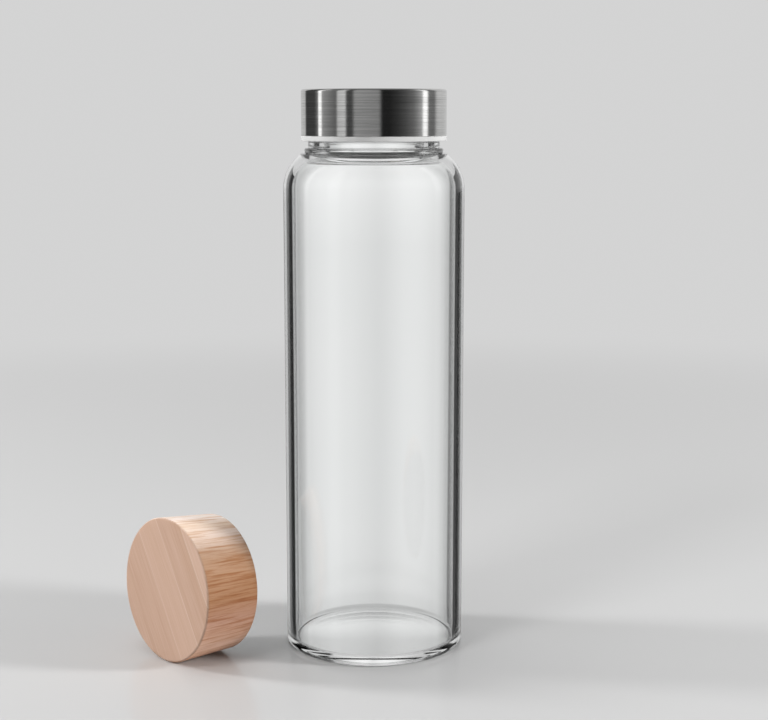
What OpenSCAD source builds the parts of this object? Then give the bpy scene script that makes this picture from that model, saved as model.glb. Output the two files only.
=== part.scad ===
// Wide-mouth glass water bottle with two screw lids for the same neck. The steel lid is screwed on.
// The bamboo lid lies on its side next to the bottle.
// The origin is the centre of the bottle's foot, on the table, and +Z runs up through the neck.

/* [Body] */
// Outside diameter of the body
body_d = 70; // [58:0.5:86]
// Height of the glass, from the table to the rim of the mouth
glass_h = 214.4; // [170:0.1:260]
// Thickness of the side wall
wall = 3.4; // [2:0.1:4.5]
// Thickness of the floor, over the ring that the bottle stands on
floor_t = 3; // [2.4:0.1:8]
// Rounding of the outside heel
heel_r = 2; // [1:0.1:5]
// Rounding between the inside wall and the floor
inner_heel_r = 1.6; // [0.8:0.1:10]
// How far the underside is pushed up at its centre
push_up = 0.9; // [0.3:0.1:1.4]
// Width of the flat ring that the bottle stands on
foot_w = 4; // [2:0.1:8]
// Rounding of the shoulder, outside
shoulder_r = 16.4; // [12:0.1:22]
// Width of the flat ledge between the shoulder's rounding and the collar
ledge_w = 1.7; // [0.5:0.1:3]

/* [Neck] */
// Outside diameter of the neck between the turns of its thread
neck_d = 44.4; // [38:0.1:50]
// Thickness of the glass at the neck
neck_wall = 2.7; // [2.4:0.1:4]
// How far the plain band that shows under the lid stands out from the neck
band_out = 3.2; // [2:0.1:3.8]
// How much of the plain band shows under a closed lid
band_show = 2.8; // [1:0.1:6]
// Gap between the top of the plain band and the closed lid's lower edge
band_gap = 0.35; // [0.3:0.05:1]
// How far the collar at the foot of the neck stands out from the band
collar_out = 1.3; // [0.8:0.1:2]
// Height of the collar
collar_h = 2.2; // [1.5:0.1:4]
// Rounding of the collar's edges
collar_round = 0.7; // [0.2:0.1:1]
// Rounding where the mouth opens into the body
throat_r = 2; // [1:0.1:3]
// Rounding of the rim of the mouth
rim_round = 1.2; // [0.5:0.1:1.4]

/* [Thread] */
// Rise of the thread in one turn
pitch = 4; // [3.5:0.1:5]
// Height of the thread's ridge above its wall
ridge_depth = 1.2; // [0.8:0.1:1.4]
// Width of the ridge at its foot
ridge_w = 1.8; // [1.2:0.1:2]
// Width of the ridge at its crest
crest_w = 0.8; // [0.4:0.1:1.2]
// Turns of thread on the glass
glass_turns = 1.6; // [1:0.1:2]
// Turns of thread inside a lid
lid_turns = 1.5; // [1:0.1:2]
// Depth below the rim at which the glass thread starts
thread_drop = 11.4; // [9:0.1:12]
// Gap between a crest and the wall that it faces
thread_gap = 0.3; // [0.2:0.05:0.5]

/* [Lids] */
// Room between a liner's skirt and the outside of its lid, at the top
lid_wall = 3.2; // [2.8:0.1:6]
// Height of the steel lid with its flange
steel_lid_h = 19.5; // [17.5:0.1:22]
// Height of the bamboo lid
bamboo_lid_h = 24.3; // [21:0.1:30]
// Wall of a liner's skirt
skirt_t = 1.1; // [0.8:0.1:1.3]
// Thickness of a liner's top
crown_t = 1.7; // [1:0.1:2]
// Thickness of a lid's silicone gasket
gasket_t = 2; // [1:0.1:2.5]
// Width of a gasket, across the ring
gasket_w = 3.6; // [2.5:0.1:3.8]
// Gap between the gasket and the rim of the mouth at rest
rim_gap = 0.05; // [0.02:0.01:0.1]

/* [Steel lid] */
// Thickness of the steel
steel_t = 0.6; // [0.4:0.1:1]
// Rounding of the steel lid's top edge
steel_round = 0.9; // [0.7:0.1:3]
// Height of the grey flange that shows under the steel
flange_h = 1.9; // [1:0.1:4]
// Height of the step that centres the steel on the flange
step_h = 2; // [1:0.1:3]
// Number of ribs between the skirt and the steel
ribs = 16; // [8:1:24]
// Thickness of a rib
rib_t = 1.2; // [0.8:0.1:2]
// Gap between the steel and the liner that is pressed into it
press_gap = 0.05; // [0.02:0.01:0.1]
// Bevel round the lower edge of the flange
flange_bevel = 0.3; // [0.1:0.1:0.6]

/* [Bamboo lid] */
// How much the bamboo lid's radius narrows towards its open end
bamboo_narrow = 1.3; // [0:0.1:1.3]
// Bevel round the bamboo's face
bamboo_bevel = 0.9; // [0.4:0.1:2]
// Bevel round the bamboo's open end
open_bevel = 0.4; // [0.2:0.1:0.6]
// Width of the liner's lip, let into the bamboo's open end
lip_w = 0.8; // [0.4:0.1:1]
// Thickness of that lip
lip_t = 1.2; // [0.8:0.1:2]
// Sideways distance from the body's side to the centre of the lid's face
lid_aside = 45.4; // [38:0.1:80]
// How far in front of the bottle's axis the centre of the lid's face lies
lid_forward = 25.9; // [0:0.1:60]
// Turn of the lid on the table, 0 with its open end towards +X
lid_turn = 41.8; // [20:0.1:70]

/* [Hidden] */
$fn = 128;
arc_steps = 10;
thread_steps = 48;
run_out = 5;
ridge_bite = 0.5;
thinnest_ridge = 0.05;
band_round = 0.3;
edge_steps = 6;
collar_start = -60;
rib_bite = 0.3;
rib_gap = 0.1;

// Every diameter of the neck and of both lids hangs from the neck's, so that they change together.
body_r = body_d / 2;
neck_r = neck_d / 2;
mouth_r = neck_r - neck_wall;
band_r = neck_r + band_out;
collar_r = band_r + collar_out;

// A lid is drawn with the rim of the mouth at z = 0, as it sits when it is closed.
seat_z = rim_gap + gasket_t;
crown_z = seat_z + crown_t;
lid_top_z = crown_z + steel_t;
lid_low_z = lid_top_z - steel_lid_h;
skirt_in_r = neck_r + ridge_depth + thread_gap;
skirt_out_r = skirt_in_r + skirt_t;
lid_r = skirt_out_r + lid_wall;
steel_in_r = lid_r - steel_t;
flange_top_z = lid_low_z + flange_h;

// The bamboo lid lies on its tapered side, so its axis tips up towards its face.
bamboo_top_z = lid_low_z + bamboo_lid_h;
bamboo_taper = bamboo_narrow / bamboo_lid_h;
bamboo_tilt = atan(bamboo_taper);

band_top_z = glass_h + lid_low_z - band_gap;
collar_top_z = glass_h + lid_low_z - band_show;
ledge_z = collar_top_z - collar_h;
ledge_r = collar_r + ledge_w;
shoulder_x = body_r - shoulder_r;
shoulder_a = acos((ledge_r - shoulder_x) / shoulder_r);
shoulder_z = ledge_z - shoulder_r * sin(shoulder_a);

// The throat's rounding touches the inside of the shoulder, so the two centres set its height.
inner_r = shoulder_r - wall;
throat_x = mouth_r + throat_r;
throat_z = shoulder_z + sqrt(pow(inner_r + throat_r, 2) - pow(throat_x - shoulder_x, 2));
throat_a = atan2(throat_z - shoulder_z, throat_x - shoulder_x);

foot_out_r = body_r - heel_r;
foot_in_r = foot_out_r - foot_w;

function arc(x, z, r, from, to, steps = arc_steps) =
    [for (i = [0:steps]) let (a = from + (to - from) * i / steps) [x + r * cos(a), z + r * sin(a)]];

function underside() =
    [for (i = [0:arc_steps - 1]) let (t = i / arc_steps) [foot_in_r * t, push_up * (1 - t * t)]];

// A solid of revolution from an outline of [radius, height] points.
module turned(outline) {
    rotate_extrude() polygon(outline);
}

// One ridge of a right-hand thread on a wall of radius wall_r, thinning out at both ends.
// side is 1 for a ridge that points outwards and -1 for one that points inwards.
module ridge(wall_r, side, start_z, turns) {
    steps = round(turns * thread_steps);
    foot = wall_r - side * ridge_bite;
    function full(i) = max(thinnest_ridge, min(1, i / run_out, (steps - i) / run_out));
    function tip(i) = wall_r + side * ridge_depth * full(i);
    function at(r, i, rise) =
        let (a = 360 * i / thread_steps) [r * cos(a), r * sin(a), start_z + pitch * i / thread_steps + rise];
    points = [for (i = [0:steps]) each [
        at(foot, i, -side * ridge_w / 2), at(tip(i), i, -side * crest_w / 2),
        at(tip(i), i, side * crest_w / 2), at(foot, i, side * ridge_w / 2)]];
    sides = [for (i = [0:steps - 1], j = [0:3])
        let (a = 4 * i + j, b = 4 * i + (j + 1) % 4) each [[a, b, b + 4], [a, b + 4, a + 4]]];
    last = 4 * steps;
    ends = [[3, 2, 1], [3, 1, 0], [last, last + 1, last + 2], [last, last + 2, last + 3]];
    polyhedron(points, concat(sides, ends));
}

// One piece of glass: floor, wall, shoulder, collar, plain band and threaded neck.
module bottle() {
    color([0.82, 0.87, 0.87, 0.4]) {
        turned(concat(
            underside(),
            [[foot_in_r, 0]],
            arc(foot_out_r, heel_r, heel_r, -90, 0),
            arc(shoulder_x, shoulder_z, shoulder_r, 0, shoulder_a),
            [[collar_r - collar_round, ledge_z]],
            arc(collar_r - collar_round, ledge_z + collar_round, collar_round, collar_start, 0, edge_steps),
            arc(collar_r - collar_round, collar_top_z - collar_round, collar_round, 0, 90, edge_steps),
            [[band_r, collar_top_z], [band_r, band_top_z - band_round],
             [band_r - band_round, band_top_z], [neck_r, band_top_z]],
            arc(neck_r - rim_round, glass_h - rim_round, rim_round, 0, 90, edge_steps),
            arc(mouth_r + rim_round, glass_h - rim_round, rim_round, 90, 180, edge_steps),
            arc(throat_x, throat_z, throat_r, 180, 180 + throat_a),
            arc(shoulder_x, shoulder_z, inner_r, throat_a, 0),
            arc(body_r - wall - inner_heel_r, floor_t + inner_heel_r, inner_heel_r, 0, -90),
            [[0, floor_t]]));
        ridge(neck_r, 1, glass_h - thread_drop, glass_turns);
    }
}

// A liner's thread runs half a pitch under the turns on the glass, which it pulls against.
module lid_thread() {
    ridge(skirt_in_r, -1, -thread_drop - pitch / 2, lid_turns);
}

// Flat silicone ring, held against the liner's top.
module gasket() {
    out_r = skirt_in_r - thread_gap;
    translate([0, 0, rim_gap])
        rotate_extrude() translate([out_r - gasket_w, 0]) square([gasket_w, gasket_t]);
}

// Puts a lid on the mouth.
module on_mouth() {
    translate([0, 0, glass_h]) children();
}

// Lays the bamboo lid on its side, with its face to the front left.
module on_table() {
    translate([-(body_r + lid_aside), -lid_forward, lid_r * cos(bamboo_tilt)])
        rotate([0, 0, lid_turn]) rotate([0, bamboo_tilt - 90, 0])
            translate([0, 0, -bamboo_top_z]) children();
}

// Drawn and brushed steel cup.
module lid_shell() {
    low = flange_top_z;
    color([0.72, 0.72, 0.71]) on_mouth() turned(concat(
        [[steel_in_r, low], [lid_r, low]],
        arc(lid_r - steel_round, lid_top_z - steel_round, steel_round, 0, 90, edge_steps),
        [[0, lid_top_z], [0, crown_z], [steel_in_r, crown_z]]));
}

// Moulded liner of the steel lid: skirt with the thread, top, ribs, step and visible flange.
module lid_liner() {
    out = steel_in_r - press_gap;
    color([0.66, 0.66, 0.65]) on_mouth() {
        turned([
            [skirt_in_r, lid_low_z], [lid_r - flange_bevel, lid_low_z], [lid_r, lid_low_z + flange_bevel],
            [lid_r, flange_top_z], [out, flange_top_z], [out, flange_top_z + step_h],
            [skirt_out_r, flange_top_z + step_h], [skirt_out_r, seat_z], [out, seat_z],
            [out, crown_z], [0, crown_z], [0, seat_z], [skirt_in_r, seat_z]]);
        for (i = [0:ribs - 1]) rotate([0, 0, 360 * i / ribs])
            translate([skirt_out_r - rib_bite, -rib_t / 2, flange_top_z + step_h - rib_bite])
                cube([out - rib_gap - skirt_out_r + rib_bite, rib_t,
                      seat_z - flange_top_z - step_h + 2 * rib_bite]);
        lid_thread();
    }
}

module lid_gasket() {
    color([0.88, 0.88, 0.86]) on_mouth() gasket();
}

// Turned puck of laminated bamboo, bored for its liner.
module bamboo_top() {
    hole_r = skirt_out_r + press_gap;
    lip_r = skirt_out_r + lip_w + press_gap;
    low_edge_z = lid_low_z + open_bevel;
    top_edge_z = bamboo_top_z - bamboo_bevel;
    function side_r(z) = lid_r - bamboo_taper * (bamboo_top_z - z);
    color([0.80, 0.62, 0.45]) on_table() turned([
        [lip_r, lid_low_z], [side_r(lid_low_z) - open_bevel, lid_low_z], [side_r(low_edge_z), low_edge_z],
        [side_r(top_edge_z), top_edge_z], [lid_r - bamboo_bevel, bamboo_top_z], [0, bamboo_top_z],
        [0, crown_z], [hole_r, crown_z], [hole_r, lid_low_z + lip_t], [lip_r, lid_low_z + lip_t]]);
}

// Moulded liner of the bamboo lid, glued in, with its lip flush with the bamboo.
module bamboo_liner() {
    color([0.90, 0.90, 0.88]) on_table() {
        turned([
            [skirt_in_r, lid_low_z], [skirt_out_r + lip_w, lid_low_z],
            [skirt_out_r + lip_w, lid_low_z + lip_t], [skirt_out_r, lid_low_z + lip_t],
            [skirt_out_r, crown_z], [0, crown_z], [0, seat_z], [skirt_in_r, seat_z]]);
        lid_thread();
    }
}

module bamboo_gasket() {
    color([0.93, 0.93, 0.91]) on_table() gasket();
}

bottle();
lid_shell();
lid_liner();
lid_gasket();
bamboo_top();
bamboo_liner();
bamboo_gasket();
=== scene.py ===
import math

import bmesh
import bpy
from mathutils import Matrix, Vector


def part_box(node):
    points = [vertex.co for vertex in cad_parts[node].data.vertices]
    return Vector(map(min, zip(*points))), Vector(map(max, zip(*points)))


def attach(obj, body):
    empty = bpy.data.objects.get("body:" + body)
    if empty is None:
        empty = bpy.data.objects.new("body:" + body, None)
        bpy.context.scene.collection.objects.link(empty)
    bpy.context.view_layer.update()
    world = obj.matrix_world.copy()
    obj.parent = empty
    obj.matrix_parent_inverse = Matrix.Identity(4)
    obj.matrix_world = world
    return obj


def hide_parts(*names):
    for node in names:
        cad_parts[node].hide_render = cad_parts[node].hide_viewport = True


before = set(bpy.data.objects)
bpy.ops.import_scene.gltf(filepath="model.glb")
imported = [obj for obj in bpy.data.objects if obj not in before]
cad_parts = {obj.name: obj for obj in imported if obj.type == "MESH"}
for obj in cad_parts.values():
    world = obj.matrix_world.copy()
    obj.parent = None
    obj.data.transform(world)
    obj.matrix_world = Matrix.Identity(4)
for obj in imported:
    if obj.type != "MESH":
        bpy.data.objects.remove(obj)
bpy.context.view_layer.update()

# ---- Studio ----------------------------------------------------------------------------------
# A pale sweep of card, floor and backdrop in one, under an overhead softbox, with a strip light at
# each side and a small softbox in front. Cards round the set give the steel and glass their tones.

SWEEP_HALF_WIDTH = 4.0
SWEEP_FRONT = -2.0
SWEEP_BACK = 2.6
SWEEP_CURVE = 1.2
SWEEP_HEIGHT = 3.0
SWEEP_DROP = 0.0002
BACKDROP_TONE = 0.655
FLOOR_COLOUR = (0.55, 0.55, 0.55, 1)
FLOOR_GLOW_START = 0.25
FLOOR_GLOW_FULL = 0.9
CARD_RING_RADIUS = 1.3
EDGE_FLAG_RADIUS = 1.28
GLOW_RING_RADIUS = 1.25
FLAG_RADIUS = 1.2
SHARP_EDGE = 35


def principled(name):
    """A new material with a Principled shader: (material, node tree, shader node)."""
    material = bpy.data.materials.new(name)
    material.use_nodes = True
    tree = material.node_tree
    return material, tree, tree.nodes["Principled BSDF"]


def add(tree, kind, links=None, **settings):
    """A node of a kind, with its properties set, and its inputs set or linked by name or place."""
    node = tree.nodes.new("ShaderNode" + kind)
    for key, value in settings.items():
        setattr(node, key, value)
    for key, value in (links or {}).items():
        if isinstance(value, bpy.types.NodeSocket):
            tree.links.new(value, node.inputs[key])
        else:
            node.inputs[key].default_value = value
    return node


def ramp(tree, factor, stops):
    """A colour ramp with (position, grey or colour) stops."""
    node = add(tree, "ValToRGB", {0: factor})
    for _ in range(len(stops) - 2):
        node.color_ramp.elements.new(0.5)
    for element, (place, tone) in zip(node.color_ramp.elements, stops):
        element.position = place
        element.color = (tone, tone, tone, 1) if isinstance(tone, (int, float)) else (*tone[:3], 1)
    return node.outputs["Color"]


def smooth_mesh(name, bm):
    """An object from a bmesh, smooth except along its sharp edges."""
    bmesh.ops.recalc_face_normals(bm, faces=bm.faces)
    for face in bm.faces:
        face.smooth = True
    for edge in bm.edges:
        if len(edge.link_faces) == 2:
            edge.smooth = edge.calc_face_angle(0) < math.radians(SHARP_EDGE)
    mesh = bpy.data.meshes.new(name)
    bm.to_mesh(mesh)
    bm.free()
    thing = bpy.data.objects.new(name, mesh)
    bpy.context.scene.collection.objects.link(thing)
    return thing


def sweep_profile():
    """Points (y, z) up the middle of the sweep, from the front of the floor to the top."""
    curve = [(SWEEP_BACK - SWEEP_CURVE + SWEEP_CURVE * math.sin(a),
              SWEEP_CURVE - SWEEP_CURVE * math.cos(a))
             for a in (math.radians(5 * i) for i in range(19))]
    return [(SWEEP_FRONT, 0.0), *curve, (SWEEP_BACK, SWEEP_HEIGHT)]


def make_sweep():
    """The sweep. Near the bottle it is lit card, and further off it fades into an even glow."""
    bm = bmesh.new()
    rows = [[bm.verts.new((side * SWEEP_HALF_WIDTH, y, z)) for side in (-1, 1)] for y, z in sweep_profile()]
    for low, high in zip(rows, rows[1:]):
        bm.faces.new((low[0], low[1], high[1], high[0]))
    sweep = smooth_mesh("studio_sweep", bm)
    sweep.location.z = -SWEEP_DROP
    material, tree, shader = principled("pale_card")
    shader.inputs["Base Color"].default_value = FLOOR_COLOUR
    shader.inputs["Roughness"].default_value = 0.16
    shader.inputs["Specular IOR Level"].default_value = 0.30
    place = add(tree, "TexCoord").outputs["Object"]
    away = add(tree, "VectorMath", {0: place}, operation="LENGTH")
    far = add(tree, "MapRange", {"Value": away.outputs["Value"], "From Min": FLOOR_GLOW_START,
                                 "From Max": FLOOR_GLOW_FULL}, interpolation_type="SMOOTHSTEP")
    glow = add(tree, "Emission", {"Color": (BACKDROP_TONE,) * 3 + (1,)})
    mix = add(tree, "MixShader", {0: far.outputs[0], 1: shader.outputs[0], 2: glow.outputs[0]})
    tree.links.new(mix.outputs[0], tree.nodes["Material Output"].inputs["Surface"])
    sweep.data.materials.append(material)
    sweep.visible_transmission = False
    sweep.visible_glossy = False


def curved_card(name, radius, low, high, stops, heights):
    """A curved card that glows by tones at angles and heights. 0 is the front and + is towards +X."""
    start, end = stops[0][0], stops[-1][0]
    bm = bmesh.new()
    columns = []
    for i in range(97):
        a = math.radians(start + (end - start) * i / 96)
        x, y = radius * math.sin(a), -radius * math.cos(a)
        columns.append([bm.verts.new((x, y, z)) for z in (low, high)])
    for near, far in zip(columns, columns[1:]):
        bm.faces.new((near[0], far[0], far[1], near[1]))
    card = smooth_mesh(name, bm)
    material = bpy.data.materials.new(name)
    material.use_nodes = True
    tree = material.node_tree
    tree.nodes.clear()
    middle = math.radians((start + end) / 2)
    spun = add(tree, "Mapping", {0: add(tree, "TexCoord").outputs["Object"], "Rotation": (0, 0, -middle)})
    parts = add(tree, "SeparateXYZ", {0: spun.outputs[0]})
    back = add(tree, "Math", {0: parts.outputs["Y"], 1: -1.0}, operation="MULTIPLY")
    angle = add(tree, "Math", {0: parts.outputs["X"], 1: back.outputs[0]}, operation="ARCTAN2")
    half = math.radians(end - start) / 2
    turn = add(tree, "MapRange", {"Value": angle.outputs[0], "From Min": -half, "From Max": half})
    tone = ramp(tree, turn.outputs[0], [((a - start) / (end - start), t) for a, t in stops])
    rise = add(tree, "MapRange", {"Value": parts.outputs["Z"], "From Min": low, "From Max": high})
    level = ramp(tree, rise.outputs[0], [((z - low) / (high - low), t) for z, t in heights])
    both = add(tree, "Mix", {"Factor": 1.0, 6: tone, 7: level}, data_type="RGBA", blend_type="MULTIPLY")
    glow = add(tree, "Emission", {"Color": both.outputs[2]})
    add(tree, "OutputMaterial", {"Surface": glow.outputs[0]})
    card.data.materials.append(material)
    card.visible_camera = card.visible_diffuse = card.visible_shadow = False
    card.visible_volume_scatter = False
    return card


def area_light(name, place, aim, size, power):
    """A softbox at a place, turned towards a point. It lights the set but isn't mirrored in it."""
    light = bpy.data.lights.new(name, "AREA")
    light.shape = "RECTANGLE"
    light.size, light.size_y = size
    light.energy = power
    lamp = bpy.data.objects.new(name, light)
    lamp.location = place
    lamp.rotation_euler = (Vector(aim) - Vector(place)).to_track_quat("-Z", "Y").to_euler()
    lamp.visible_glossy = False
    lamp.visible_transmission = False
    bpy.context.scene.collection.objects.link(lamp)


make_sweep()

# What the steel and the outside of the glass mirror: (angle from the front, tone).
mirror_cards = curved_card("mirror_cards", CARD_RING_RADIUS, -1.6, 1.6, [
    (-180, 0.62), (-137, 0.62), (-132, 0.06), (-105, 0.07), (-97, 0.22), (-95, 1.6), (-90, 1.6),
    (-87, 0.40), (-72, 0.26), (-60, 0.16), (-57, 0.72), (-45, 0.78), (-42, 0.08), (-33, 0.09),
    (-29, 0.40), (8, 0.32), (13, 0.02), (25, 0.023), (38, 0.05), (51, 0.10), (65, 0.19), (72, 0.31),
    (81, 0.54), (84, 1.6), (91, 1.6), (95, 0.22), (109, 0.20), (117, 0.62), (124, 0.68), (180, 0.62)],
    [(-1.6, 0.40), (0.10, 0.45), (0.15, 1.0), (1.6, 1.0)])
mirror_cards.visible_transmission = False

# A low dark card behind at the right, mirrored only in the lower part of the glass.
edge_flag = curved_card("edge_flag", EDGE_FLAG_RADIUS, -1.0, 0.12,
                        [(131, 0.30), (134, 0.03), (144, 0.03), (148, 0.28)],
                        [(-1.0, 1.0), (0.12, 1.0)])
edge_flag.visible_transmission = False

# What shows through the glass: bright card all round, and two black flags behind the bottle.
glow_card = curved_card("glow_card", GLOW_RING_RADIUS, -1.6, 1.6, [
    (-180, 0.72), (-177.5, 0.80), (-175, 0.86), (-170, 0.78), (-166, 0.62), (-161, 0.52), (-90, 0.72),
    (0, 0.75), (90, 0.72), (160, 0.50), (166, 0.62), (171, 0.74), (175, 0.84), (177, 0.84), (180, 0.72)],
    [(-1.6, 0.62), (-0.46, 0.66), (-0.36, 0.96), (-0.30, 1.0), (0.05, 1.01), (0.14, 1.13), (1.6, 1.13)])
glow_card.visible_glossy = False
for name, stops in (("left_flag", [(-158, 0.50), (-156, 0.02), (-135, 0.02), (-132, 0.62)]),
                    ("right_flag", [(132, 0.62), (135, 0.02), (161, 0.02), (163, 0.48)])):
    flag = curved_card(name, FLAG_RADIUS, -1.0, 0.42, stops, [(-1.0, 1.0), (0.42, 1.0)])
    flag.visible_glossy = False

area_light("overhead_softbox", (-0.2, 0.05, 1.5), (0, 0, 0), (1.1, 0.8), 4.9)
area_light("left_strip", (-1.28, 0.20, 0.52), (0, 0, 0.08), (0.22, 0.30), 14)
area_light("right_strip", (1.27, -0.26, 0.50), (0, 0, 0.08), (0.20, 0.28), 18)
area_light("front_softbox", (-0.80, -0.95, 0.95), (0, 0, 0.05), (0.42, 0.42), 7.4)

# The room round the set is paler to the eye and through glass than in the light that it gives.
world = bpy.data.worlds.new("studio_air")
world.use_nodes = True
seen_by = add(world.node_tree, "LightPath")
in_view = add(world.node_tree, "Math", {0: seen_by.outputs["Is Camera Ray"],
                                        1: seen_by.outputs["Is Transmission Ray"]}, operation="MAXIMUM")
air_tone = ramp(world.node_tree, in_view.outputs[0], [(0.0, 0.19), (1.0, 0.64)])
world.node_tree.links.new(air_tone, world.node_tree.nodes["Background"].inputs["Color"])
bpy.context.scene.world = world
bpy.context.scene.view_settings.view_transform = "Standard"

# The floor of the bottle leads light sideways by many reflections, so rays are followed further.
bpy.context.scene.cycles.max_bounces = 24
bpy.context.scene.cycles.glossy_bounces = 14
bpy.context.scene.cycles.transmission_bounces = 20

# The camera stands in front of the bottle, near the height of its lid, and looks a little down.
CAMERA_PLACE = (0.0039, -0.6181, 0.2122)
CAMERA_TILT = 9.055
CAMERA_LENS = 74.57
CAMERA_FILM = 36
camera_data = bpy.data.cameras.new("camera")
camera_data.lens = CAMERA_LENS
camera_data.sensor_width = CAMERA_FILM
camera = bpy.data.objects.new("camera", camera_data)
camera.location = CAMERA_PLACE
camera.rotation_euler = (math.radians(90 - CAMERA_TILT), 0, 0)
bpy.context.scene.collection.objects.link(camera)
bpy.context.scene.camera = camera

# ---- Glass bottle ----------------------------------------------------------------------------
# One piece of clear soda-lime glass, blown in a mould: heavy floor with a low push-up, straight
# wall, round shoulder, collar, plain band and a neck with a rounded thread. Fire polished.

MM = 0.001
bottle_low, bottle_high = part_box("bottle")
GLASS_TOP = bottle_high.z
BODY_R = (bottle_high.x - bottle_low.x) / 2
WALL = 3.4 * MM
FLOOR_T = 3.0 * MM
HEEL_R = 2.0 * MM
INNER_HEEL_R = 1.6 * MM
PUSH_UP = 0.9 * MM
FOOT_W = 4.0 * MM
SHOULDER_R = 16.4 * MM
LEDGE_W = 1.7 * MM
COLLAR_R = 26.7 * MM
COLLAR_H = 2.2 * MM
COLLAR_ROUND = 0.7 * MM
BAND_R = 25.4 * MM
BAND_ROUND = 0.4 * MM
BAND_GAP = 0.35 * MM
BAND_SHOW = 2.8 * MM
BAND_FOOT_ROUND = 0.3 * MM
NECK_R = 22.2 * MM
NECK_FOOT_ROUND = 0.4 * MM
MOUTH_R = 19.5 * MM
RIM_ROUND = 1.2 * MM
THROAT_R = 2.0 * MM
PITCH = 4.0 * MM
RIDGE_DEPTH = 1.2 * MM
RIDGE_W = 1.9 * MM
THREAD_DROP = 11.4 * MM
THREAD_GAP = 0.3 * MM
GLASS_TURNS = 1.6
LID_TURNS = 1.5
SEGMENTS = 240


def arc(x, z, radius, start, end, steps=12):
    """Points (r, z) along an arc, angles in degrees."""
    turns = [math.radians(start + (end - start) * i / steps) for i in range(steps + 1)]
    return [(x + radius * math.cos(a), z + radius * math.sin(a)) for a in turns]


def line(start, end, steps):
    """Points along a straight run, without its first."""
    return [(start[0] + (end[0] - start[0]) * i / steps, start[1] + (end[1] - start[1]) * i / steps)
            for i in range(1, steps + 1)]


def smoothstep(t):
    """An even rise from 0 to 1, level at both ends."""
    t = min(1.0, max(0.0, t))
    return t * t * (3 - 2 * t)


def ridge_height(angle, z, start, turns):
    """How far a rounded thread stands up at an angle and height, from 0 to 1."""
    height = 0.0
    for turn in range(3):
        along = angle / math.tau + turn
        away = abs(z - (start + PITCH * along)) / (RIDGE_W / 2)
        ends = smoothstep(along / 0.12) * smoothstep((turns - along) / 0.12)
        height = max(height, ends * smoothstep((1.15 - away) / 0.75))
    return height


def turned(name, outline, closed=False, thread=None):
    """A turned piece from an outline of (r, z) points. thread is (wall r, side, start z, turns)."""
    bm = bmesh.new()
    rings = []
    for r, z in outline:
        if r < 1e-7:
            rings.append([bm.verts.new((0, 0, z))])
            continue
        ring = []
        for i in range(SEGMENTS):
            a = math.tau * i / SEGMENTS
            reach = r
            if thread and abs(r - thread[0]) < 1e-6:
                reach += thread[1] * RIDGE_DEPTH * ridge_height(a, z, thread[2], thread[3])
            ring.append(bm.verts.new((reach * math.cos(a), reach * math.sin(a), z)))
        rings.append(ring)
    pairs = list(zip(rings, rings[1:])) + ([(rings[-1], rings[0])] if closed else [])
    for low, high in pairs:
        for i in range(SEGMENTS if len(low) + len(high) > 2 else 0):
            j = (i + 1) % SEGMENTS
            corners = [low[i % len(low)], low[j % len(low)], high[j % len(high)], high[i % len(high)]]
            bm.faces.new(list(dict.fromkeys(corners)))
    return smooth_mesh(name, bm)


# The lids' heights hang from the rim of the mouth, so the neck is laid out from the rim down.
shell_low, shell_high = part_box("lid_shell")
LID_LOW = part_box("lid_liner")[0].z
LID_TOP = shell_high.z
band_top = LID_LOW - BAND_GAP
collar_top = LID_LOW - BAND_SHOW
ledge_z = collar_top - COLLAR_H
shoulder_x = BODY_R - SHOULDER_R
shoulder_angle = math.degrees(math.acos((COLLAR_R + LEDGE_W - shoulder_x) / SHOULDER_R))
shoulder_z = ledge_z - SHOULDER_R * math.sin(math.radians(shoulder_angle))
inner_shoulder_r = SHOULDER_R - WALL
throat_x = MOUTH_R + THROAT_R
throat_z = shoulder_z + math.sqrt((inner_shoulder_r + THROAT_R) ** 2 - (throat_x - shoulder_x) ** 2)
throat_angle = math.degrees(math.atan2(throat_z - shoulder_z, throat_x - shoulder_x))
foot_outer = BODY_R - HEEL_R
foot_inner = foot_outer - FOOT_W


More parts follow.
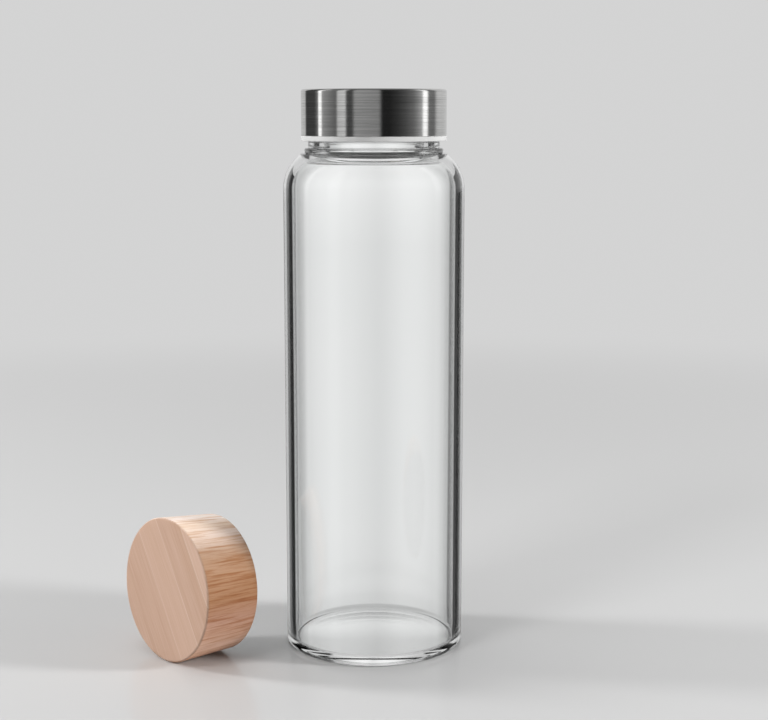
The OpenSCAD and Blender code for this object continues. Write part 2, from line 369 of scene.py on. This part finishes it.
def bottle_outline():
    """The glass's outline, from the middle of its underside up the outside and down the inside."""
    thread_low = band_top + NECK_FOOT_ROUND
    thread_high = GLASS_TOP - RIM_ROUND
    outside = [(foot_inner * t, PUSH_UP * (1 - t * t)) for t in (i / 12 for i in range(12))]
    outside += [(foot_inner, 0)] + arc(foot_outer, HEEL_R, HEEL_R, -90, 0)
    outside += line((BODY_R, HEEL_R), (BODY_R, shoulder_z), 30)
    outside += arc(shoulder_x, shoulder_z, SHOULDER_R, 0, shoulder_angle, 24)[1:]
    outside += arc(COLLAR_R - COLLAR_ROUND, ledge_z + COLLAR_ROUND, COLLAR_ROUND, -75, 0, 8)
    outside += arc(COLLAR_R - COLLAR_ROUND, collar_top - COLLAR_ROUND, COLLAR_ROUND, 0, 88, 8)
    outside += arc(BAND_R + BAND_FOOT_ROUND, collar_top + BAND_FOOT_ROUND, BAND_FOOT_ROUND, 270, 180, 4)
    outside += arc(BAND_R - BAND_ROUND, band_top - BAND_ROUND, BAND_ROUND, 0, 90, 5)
    outside += arc(NECK_R + NECK_FOOT_ROUND, thread_low, NECK_FOOT_ROUND, 270, 180, 5)
    outside += line((NECK_R, thread_low), (NECK_R, thread_high), 64)
    rim = arc(NECK_R - RIM_ROUND, thread_high, RIM_ROUND, 0, 90, 8)[1:]
    rim += arc(MOUTH_R + RIM_ROUND, thread_high, RIM_ROUND, 90, 180, 8)
    inside = arc(throat_x, throat_z, THROAT_R, 180, 180 + throat_angle, 14)
    inside += arc(shoulder_x, shoulder_z, inner_shoulder_r, throat_angle, 0, 26)[1:]
    inside += line((BODY_R - WALL, shoulder_z), (BODY_R - WALL, FLOOR_T + INNER_HEEL_R), 30)
    inside += arc(BODY_R - WALL - INNER_HEEL_R, FLOOR_T + INNER_HEEL_R, INNER_HEEL_R, 0, -90, 12)[1:]
    floor_r = BODY_R - WALL - INNER_HEEL_R
    inside += [(floor_r * t, FLOOR_T + 0.5 * PUSH_UP * (1 - t * t))
               for t in (1 - i / 12 for i in range(1, 13))]
    return outside + rim + inside


def clear_glass():
    """Clear glass with a faint cool tint, slow waves from the mould and light handling marks.

    Its shadow is thin in the middle and darker where the glass is seen edge-on.
    """
    material, tree, shader = principled("clear_glass")
    shader.inputs["Transmission Weight"].default_value = 1.0
    shader.inputs["IOR"].default_value = 1.5
    place = add(tree, "TexCoord").outputs["Object"]
    tint = add(tree, "TexNoise", {"Vector": place, "Scale": 18.0, "Detail": 2.0})
    colour = ramp(tree, tint.outputs["Fac"], [(0.3, (0.975, 0.984, 0.982)), (0.7, (0.985, 0.990, 0.988))])
    tree.links.new(colour, shader.inputs["Base Color"])
    marks = add(tree, "TexNoise", {"Vector": place, "Scale": 55.0, "Detail": 6.0})
    dull = add(tree, "MapRange", {"Value": marks.outputs["Fac"], "From Min": 0.55, "From Max": 0.85,
                                  "To Min": 0.0, "To Max": 0.025})
    tree.links.new(dull.outputs[0], shader.inputs["Roughness"])
    stretch = add(tree, "Mapping", {"Vector": place, "Scale": (30.0, 30.0, 6.0)})
    waves = add(tree, "TexNoise", {"Vector": stretch.outputs[0], "Scale": 1.0, "Detail": 1.0})
    bump = add(tree, "Bump", {"Height": waves.outputs["Fac"], "Strength": 0.10, "Distance": 0.0006})
    tree.links.new(bump.outputs[0], shader.inputs["Normal"])
    edge = add(tree, "LayerWeight", {"Blend": 0.35})
    shade = ramp(tree, edge.outputs["Facing"], [(0.0, 0.52), (0.5, 0.42), (1.0, 0.10)])
    clear = add(tree, "BsdfTransparent", {"Color": shade})
    lamps = add(tree, "LightPath").outputs["Is Shadow Ray"]
    mix = add(tree, "MixShader", {0: lamps, 1: shader.outputs[0], 2: clear.outputs[0]})
    tree.links.new(mix.outputs[0], tree.nodes["Material Output"].inputs["Surface"])
    return material


bottle = turned("glass_bottle", bottle_outline(),
                thread=(NECK_R, 1, GLASS_TOP - THREAD_DROP, GLASS_TURNS))
bottle.data.materials.append(clear_glass())
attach(bottle, "glass")
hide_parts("bottle")

# ---- Steel shell -----------------------------------------------------------------------------
# A cup drawn from thin stainless sheet and brushed on a lathe, so fine scratches run round it.
# It is pressed over the liner, and its cut edge stops at the liner's grey flange.

STEEL_T = 0.6 * MM
SCRATCHES_UP = 95.0
STEEL_ROUND = 0.9 * MM
CUT_EDGE = 0.1 * MM
LID_R = (shell_high.x - shell_low.x) / 2
FLANGE_TOP = shell_low.z
crown_z = LID_TOP - STEEL_T


def brushed_steel():
    """Stainless steel with turned scratches: rings of slightly different tone and depth."""
    material, tree, shader = principled("brushed_steel")
    shader.inputs["Metallic"].default_value = 1.0
    place = add(tree, "TexCoord").outputs["Object"]
    parts = add(tree, "SeparateXYZ", {0: place})
    flat = add(tree, "CombineXYZ", {"X": parts.outputs["X"], "Y": parts.outputs["Y"]})
    reach = add(tree, "VectorMath", {0: flat.outputs[0]}, operation="LENGTH")
    along = add(tree, "Math", {0: reach.outputs["Value"], 1: parts.outputs["Z"]}, operation="ADD")
    turned_place = add(tree, "CombineXYZ", {
        "X": parts.outputs["X"], "Y": parts.outputs["Y"],
        "Z": add(tree, "Math", {0: along.outputs[0], 1: SCRATCHES_UP}, operation="MULTIPLY").outputs[0]})
    fine = add(tree, "TexNoise", {"Vector": turned_place.outputs[0], "Scale": 28.0, "Detail": 6.0,
                                  "Roughness": 0.82})
    coarse = add(tree, "TexNoise", {"Vector": turned_place.outputs[0], "Scale": 9.0, "Detail": 3.0})
    tone = ramp(tree, fine.outputs["Fac"], [(0.32, (0.46, 0.46, 0.455)), (0.68, (0.80, 0.80, 0.79))])
    tree.links.new(tone, shader.inputs["Base Color"])
    rough = add(tree, "MapRange", {"Value": coarse.outputs["Fac"], "From Min": 0.3, "From Max": 0.7,
                                   "To Min": 0.10, "To Max": 0.17})
    tree.links.new(rough.outputs[0], shader.inputs["Roughness"])
    shader.inputs["Anisotropic"].default_value = 0.85
    shader.inputs["Anisotropic Rotation"].default_value = 0.25
    around = add(tree, "Tangent", direction_type="RADIAL", axis="Z")
    tree.links.new(around.outputs[0], shader.inputs["Tangent"])
    bump = add(tree, "Bump", {"Height": fine.outputs["Fac"], "Strength": 0.20, "Distance": 0.00003})
    tree.links.new(bump.outputs[0], shader.inputs["Normal"])
    return material


shell_outline = [(LID_R - STEEL_T, FLANGE_TOP), (LID_R - CUT_EDGE, FLANGE_TOP),
                 (LID_R, FLANGE_TOP + CUT_EDGE)]
shell_outline += line((LID_R, FLANGE_TOP + CUT_EDGE), (LID_R, LID_TOP - STEEL_ROUND), 6)
shell_outline += arc(LID_R - STEEL_ROUND, LID_TOP - STEEL_ROUND, STEEL_ROUND, 0, 90, 8)[1:]
shell_outline += line((LID_R - STEEL_ROUND, LID_TOP), (0, LID_TOP), 6)
shell_outline += [(0, crown_z), (LID_R - STEEL_T, crown_z)]
shell = turned("steel_shell", shell_outline, closed=True)
shell.data.materials.append(brushed_steel())
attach(shell, "steel_lid")
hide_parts("lid_shell")

# ---- Liners ----------------------------------------------------------------------------------
# Both lids have a moulded polypropylene liner with the neck's thread inside. The steel lid's is
# grey and ends in the flange under the steel; the bamboo lid's is white and glued into the wood.

SKIRT_T = 1.1 * MM
CROWN_T = 1.7 * MM
STEP_H = 2.0 * MM
PRESS_GAP = 0.05 * MM
LIP_W = 0.8 * MM
LIP_T = 1.2 * MM
MOULD_ROUND = 0.25 * MM
GRAIN_DEPTH = 0.00003
RIBS = 16
RIB_T = 1.2 * MM
RIB_BITE = 0.3 * MM
RIB_SET_BACK = 0.1 * MM
skirt_in = NECK_R + RIDGE_DEPTH + THREAD_GAP
skirt_out = skirt_in + SKIRT_T
seat_z = crown_z - CROWN_T


def mould_grain_group():
    """Moulded plastic's fine grain, as Height for a bump, and its flow marks, as Flow from 0 to 1."""
    group = bpy.data.node_groups.new("mould_grain", "ShaderNodeTree")
    for name, value in (("Grain Scale", 2600), ("Flow Scale", 90)):
        socket = group.interface.new_socket(name, in_out="INPUT", socket_type="NodeSocketFloat")
        socket.default_value = value
    for name in ("Height", "Flow"):
        group.interface.new_socket(name, in_out="OUTPUT", socket_type="NodeSocketFloat")
    given = group.nodes.new("NodeGroupInput")
    out = group.nodes.new("NodeGroupOutput")
    place = add(group, "TexCoord").outputs["Object"]
    grain = add(group, "TexNoise", {"Vector": place, "Scale": given.outputs["Grain Scale"], "Detail": 2.0})
    flow = add(group, "TexNoise", {"Vector": place, "Scale": given.outputs["Flow Scale"], "Detail": 4.0})
    group.links.new(grain.outputs["Fac"], out.inputs["Height"])
    group.links.new(flow.outputs["Fac"], out.inputs["Flow"])
    return group


mould_grain = mould_grain_group()


def moulded(name, dark, light, roughness, grain_scale=2600):
    """A moulded plastic or rubber with a colour between two tones."""
    material, tree, shader = principled(name)
    grain = add(tree, "Group", {}, node_tree=mould_grain)
    grain.inputs["Grain Scale"].default_value = grain_scale
    tone = ramp(tree, grain.outputs["Flow"], [(0.35, dark), (0.65, light)])
    tree.links.new(tone, shader.inputs["Base Color"])
    rough = add(tree, "MapRange", {"Value": grain.outputs["Flow"], "From Min": 0.3, "From Max": 0.7,
                                   "To Min": roughness - 0.05, "To Max": roughness + 0.05})
    tree.links.new(rough.outputs[0], shader.inputs["Roughness"])
    bump = add(tree, "Bump", {"Height": grain.outputs["Height"], "Strength": 0.3, "Distance": GRAIN_DEPTH})
    tree.links.new(bump.outputs[0], shader.inputs["Normal"])
    return material


def skirt_inside(high, low):
    """The threaded inside of a liner, from its seat down to its open end."""
    return line((skirt_in, high), (skirt_in, low), 64)


def add_ribs(piece, inner, outer, low, high):
    """Upright ribs round a liner's skirt, each a slim bar let into the skirt and the top."""
    bm = bmesh.new()
    bm.from_mesh(piece.data)
    for i in range(RIBS):
        bar = bmesh.ops.create_cube(bm, size=1)["verts"]
        size = Matrix.Diagonal((outer - inner, RIB_T, high - low, 1))
        place = Matrix.Translation(((inner + outer) / 2, 0, (low + high) / 2))
        turn = Matrix.Rotation(math.tau * i / RIBS, 4, "Z")
        bmesh.ops.transform(bm, matrix=turn @ place @ size, verts=bar)
    bm.to_mesh(piece.data)
    bm.free()


def grey_liner():
    """The steel lid's liner, upright where it sits: flange, skirt, top and ribs."""
    low = LID_LOW
    out = LID_R - STEEL_T - PRESS_GAP
    outline = arc(LID_R - MOULD_ROUND, low + MOULD_ROUND, MOULD_ROUND, -90, 0, 5)
    outline += arc(LID_R - MOULD_ROUND, FLANGE_TOP - MOULD_ROUND, MOULD_ROUND, 0, 80, 5)
    outline += [(out, FLANGE_TOP), (out, FLANGE_TOP + STEP_H), (skirt_out, FLANGE_TOP + STEP_H),
                (skirt_out, seat_z), (out, seat_z), (out, crown_z), (0, crown_z), (0, seat_z),
                (skirt_in, seat_z)]
    outline += skirt_inside(seat_z, low + MOULD_ROUND) + [(skirt_in + MOULD_ROUND, low)]
    cup = turned("grey_liner", outline, closed=True,
                 thread=(skirt_in, -1, GLASS_TOP - THREAD_DROP - PITCH / 2, LID_TURNS))
    add_ribs(cup, skirt_out - RIB_BITE, out - RIB_SET_BACK,
             FLANGE_TOP + STEP_H - RIB_BITE, seat_z + RIB_BITE)
    return cup


steel_lid_liner = grey_liner()
steel_lid_liner.data.materials.append(
    moulded("grey_polypropylene", (0.56, 0.56, 0.555), (0.62, 0.62, 0.615), 0.42))
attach(steel_lid_liner, "steel_lid")
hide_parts("lid_liner")

# ---- Bamboo lid ------------------------------------------------------------------------------
# A puck turned from laminated bamboo board, a little narrower at its open end, its glue lines
# crossing the face. It is sanded and lightly oiled, and lies on its side on the table.

LID_TURN = 41.8
BAMBOO_H = 24.3 * MM
BAMBOO_OPEN_R = 26.7 * MM
BAMBOO_ROUND = 0.9 * MM
OPEN_ROUND = 0.4 * MM
SIDE_SET_BACK = 0.02 * MM
FIBRE_LEAN = 35.0
STRIP_W = 13.5 * MM
bamboo_taper = math.atan((LID_R - BAMBOO_OPEN_R) / BAMBOO_H)


def bamboo_pose():
    """Where the lid lies. Its own +Z is the way its face looks, +X is up, and its face is at z = 0."""
    turn = math.radians(LID_TURN)
    face = Vector((-math.cos(turn) * math.cos(bamboo_taper), -math.sin(turn) * math.cos(bamboo_taper),
                   math.sin(bamboo_taper)))
    side = Vector((math.sin(turn), -math.cos(turn), 0))
    spin = Matrix((face.cross(side), -side, face)).transposed().to_4x4()
    seal_low, seal_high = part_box("bamboo_gasket")
    standing_low, standing_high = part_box("lid_gasket")
    depth = BAMBOO_H - (GLASS_TOP - LID_LOW) - ((standing_low.z + standing_high.z) / 2 - GLASS_TOP)
    return Matrix.Translation((seal_low + seal_high) / 2 + face * depth) @ spin


def bamboo_outline():
    """The bamboo's outline, from the lip of its hollow round the outside to the hollow's top."""
    lip = skirt_out + LIP_W + PRESS_GAP
    hole = skirt_out + PRESS_GAP
    taper = math.degrees(bamboo_taper)
    outline = [(lip, -BAMBOO_H)]
    outline += arc(BAMBOO_OPEN_R - OPEN_ROUND, -BAMBOO_H + OPEN_ROUND, OPEN_ROUND, -90, -taper, 6)
    side_end = LID_R - SIDE_SET_BACK - math.tan(bamboo_taper) * BAMBOO_ROUND
    outline += line(outline[-1], (side_end, -BAMBOO_ROUND), 12)
    outline += arc(LID_R - BAMBOO_ROUND, -BAMBOO_ROUND, BAMBOO_ROUND, 0, 90, 8)[1:]
    outline += line((LID_R - BAMBOO_ROUND, 0), (0, 0), 10)
    face_depth = crown_z - GLASS_TOP
    hollow_top = -(BAMBOO_H - (GLASS_TOP - LID_LOW) - face_depth)
    outline += [(0, hollow_top), (hole, hollow_top), (hole, -BAMBOO_H + LIP_T), (lip, -BAMBOO_H + LIP_T)]
    return outline


def laminated_bamboo():
    """Upright strips glued side by side, each with its own tone, fine fibres and darker veins."""
    material, tree, shader = principled("laminated_bamboo")
    place = add(tree, "TexCoord").outputs["Object"]
    lean = math.radians(90 - FIBRE_LEAN)
    spun = add(tree, "Mapping", {"Vector": place, "Rotation": (0, 0, lean)})
    parts = add(tree, "SeparateXYZ", {0: spun.outputs[0]})
    across, fibre, depth = parts.outputs["X"], parts.outputs["Y"], parts.outputs["Z"]

    def maths(operation, a, b=0.0, c=0.0):
        """One step of arithmetic on values or sockets."""
        return add(tree, "Math", {0: a, 1: b, 2: c}, operation=operation).outputs[0]

    strip = maths("MULTIPLY_ADD", across, 1 / STRIP_W, 0.35)
    number = maths("FLOOR", strip)
    tones = add(tree, "TexWhiteNoise", {"W": number}, noise_dimensions="1D")
    in_strip = maths("FRACT", strip)
    to_joint = maths("MINIMUM", in_strip, maths("SUBTRACT", 1.0, in_strip))
    joint = add(tree, "MapRange", {"Value": to_joint, "From Min": 0.012, "From Max": 0.045,
                                   "To Min": 1.0, "To Max": 0.0}).outputs[0]
    moved = maths("MULTIPLY_ADD", number, 0.37, across)
    grain_place = add(tree, "CombineXYZ", {"X": moved, "Y": maths("MULTIPLY", fibre, 0.016),
                                           "Z": maths("MULTIPLY", depth, 0.010)}).outputs[0]
    rim_place = add(tree, "Mapping", {"Vector": place, "Scale": (1.0, 1.0, 0.008)}).outputs[0]
    fine = add(tree, "TexNoise", {"Vector": grain_place, "Scale": 2400.0, "Detail": 4.0, "Roughness": 0.6})
    threads = add(tree, "TexNoise", {"Vector": rim_place, "Scale": 1500.0, "Detail": 3.0, "Roughness": 0.6})
    veins = add(tree, "TexNoise", {"Vector": rim_place, "Scale": 760.0, "Detail": 4.0, "Roughness": 0.55})
    rim_broad = add(tree, "TexNoise", {"Vector": rim_place, "Scale": 130.0, "Detail": 2.0})
    broad = add(tree, "TexNoise", {"Vector": grain_place, "Scale": 150.0, "Detail": 2.0})

    face_tone = ramp(tree, tones.outputs["Value"], [(0.0, (0.530, 0.355, 0.268)),
                                                    (1.0, (0.610, 0.428, 0.340))])
    face_fine = ramp(tree, fine.outputs["Fac"], [(0.30, (0.88, 0.82, 0.76)), (0.62, (1.04, 1.05, 1.06))])
    face = add(tree, "Mix", {"Factor": 0.6, 6: face_tone, 7: face_fine}, data_type="RGBA",
               blend_type="MULTIPLY").outputs[2]
    face_broad = ramp(tree, broad.outputs["Fac"], [(0.30, (0.90, 0.86, 0.80)), (0.70, (1.0, 1.0, 1.0))])
    face = add(tree, "Mix", {"Factor": 0.8, 6: face, 7: face_broad}, data_type="RGBA",
               blend_type="MULTIPLY").outputs[2]
    joint_show = maths("MULTIPLY", joint, maths("MULTIPLY", tones.outputs["Value"], 0.4))
    face = add(tree, "Mix", {"Factor": joint_show, 6: face, 7: (0.73, 0.61, 0.52, 1)},
               data_type="RGBA").outputs[2]

    # Side tones by height as the lid lies, from the underside up: the bamboo's tone with painted light,
    # painted shade darkening the middle of the side and a painted pale sheen along its top.
    height = add(tree, "SeparateXYZ", {0: place}).outputs["X"]
    painted_light_height = add(tree, "MapRange", {"Value": height, "From Min": -0.028, "From Max": 0.028}).outputs[0]
    side_tone_and_painted_light = ramp(tree, painted_light_height, [
        (0.0, (0.74, 0.36, 0.16)), (0.18, (0.68, 0.43, 0.32)), (0.38, (0.47, 0.26, 0.175)),
        (0.53, (0.39, 0.200, 0.102)), (0.69, (0.44, 0.260, 0.158)), (0.83, (0.45, 0.29, 0.195)),
        (0.97, (0.98, 0.84, 0.76))])
    side_broad = ramp(tree, rim_broad.outputs["Fac"], [(0.34, (0.90, 0.82, 0.72)),
                                                       (0.66, (1.05, 1.08, 1.12))])
    side = add(tree, "Mix", {"Factor": 1.0, 6: side_tone_and_painted_light, 7: side_broad}, data_type="RGBA",
               blend_type="MULTIPLY").outputs[2]
    vein = ramp(tree, veins.outputs["Fac"], [(0.38, (0.74, 0.54, 0.36)), (0.50, (1.0, 1.0, 1.0))])
    thread = ramp(tree, threads.outputs["Fac"], [(0.34, (0.84, 0.72, 0.60)), (0.54, (1.03, 1.04, 1.05))])
    side = add(tree, "Mix", {"Factor": 0.75, 6: side, 7: vein}, data_type="RGBA",
               blend_type="MULTIPLY").outputs[2]
    side = add(tree, "Mix", {"Factor": 0.75, 6: side, 7: thread}, data_type="RGBA",
               blend_type="MULTIPLY").outputs[2]
    on_side = add(tree, "MapRange", {"Value": depth, "From Min": -0.0001, "From Max": -0.0007}).outputs[0]
    colour = add(tree, "Mix", {"Factor": on_side, 6: face, 7: side}, data_type="RGBA").outputs[2]
    tree.links.new(colour, shader.inputs["Base Color"])
    rough = add(tree, "MapRange", {"Value": fine.outputs["Fac"], "From Min": 0.3, "From Max": 0.7,
                                   "To Min": 0.52, "To Max": 0.40})
    tree.links.new(rough.outputs[0], shader.inputs["Roughness"])
    bump = add(tree, "Bump", {"Height": fine.outputs["Fac"], "Strength": 0.20, "Distance": 0.00006})
    tree.links.new(bump.outputs[0], shader.inputs["Normal"])
    return material


def lay_down(piece, node):
    """Puts a piece of the bamboo lid where the lid lies."""
    piece.matrix_world = bamboo_pose()
    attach(piece, "bamboo_lid")
    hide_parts(node)


bamboo = turned("bamboo_puck", bamboo_outline(), closed=True)
bamboo.data.materials.append(laminated_bamboo())
lay_down(bamboo, "bamboo_top")

rim_depth = -(BAMBOO_H - (GLASS_TOP - LID_LOW))


def white_liner():
    """The bamboo lid's liner, in the lid's own frame with the face at z = 0."""
    low = -BAMBOO_H
    seat = rim_depth + seat_z - GLASS_TOP
    crown = rim_depth + crown_z - GLASS_TOP
    lip = skirt_out + LIP_W
    outline = [(skirt_in + MOULD_ROUND, low), (lip - MOULD_ROUND, low), (lip, low + MOULD_ROUND),
               (lip, low + LIP_T), (skirt_out, low + LIP_T), (skirt_out, crown), (0, crown), (0, seat),
               (skirt_in, seat)]
    outline += skirt_inside(seat, low + MOULD_ROUND)
    return turned("white_liner", outline, closed=True,
                  thread=(skirt_in, -1, rim_depth - THREAD_DROP - PITCH / 2, LID_TURNS))


bamboo_lid_liner = white_liner()
bamboo_lid_liner.data.materials.append(
    moulded("white_polypropylene", (0.70, 0.70, 0.68), (0.76, 0.76, 0.74), 0.40))
lay_down(bamboo_lid_liner, "bamboo_liner")

# ---- Gaskets ---------------------------------------------------------------------------------
# Flat rings punched and edge-rounded from milky silicone. Each is pressed up against its liner's
# top, and the rim of the mouth closes on it.

GASKET_T = 2.0 * MM
GASKET_W = 3.6 * MM
GASKET_ROUND = 0.3 * MM
SEAL_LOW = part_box("lid_gasket")[0].z


def gasket_outline(low):
    """A gasket's outline with its underside at a height."""
    out = skirt_in - THREAD_GAP
    inner = out - GASKET_W
    high = low + GASKET_T
    outline = arc(out - GASKET_ROUND, low + GASKET_ROUND, GASKET_ROUND, -90, 0, 4)
    outline += arc(out - GASKET_ROUND, high - GASKET_ROUND, GASKET_ROUND, 0, 90, 4)
    outline += arc(inner + GASKET_ROUND, high - GASKET_ROUND, GASKET_ROUND, 90, 180, 4)
    return outline + arc(inner + GASKET_ROUND, low + GASKET_ROUND, GASKET_ROUND, 180, 270, 4)


silicone = moulded("milky_silicone", (0.70, 0.70, 0.68), (0.78, 0.78, 0.76), 0.5, grain_scale=1800)
steel_lid_ring = turned("steel_lid_gasket", gasket_outline(SEAL_LOW), closed=True)
steel_lid_ring.data.materials.append(silicone)
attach(steel_lid_ring, "gasket")
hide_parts("lid_gasket")

bamboo_lid_ring = turned("bamboo_lid_gasket", gasket_outline(rim_depth + SEAL_LOW - GLASS_TOP),
                         closed=True)
bamboo_lid_ring.data.materials.append(silicone)
lay_down(bamboo_lid_ring, "bamboo_gasket")
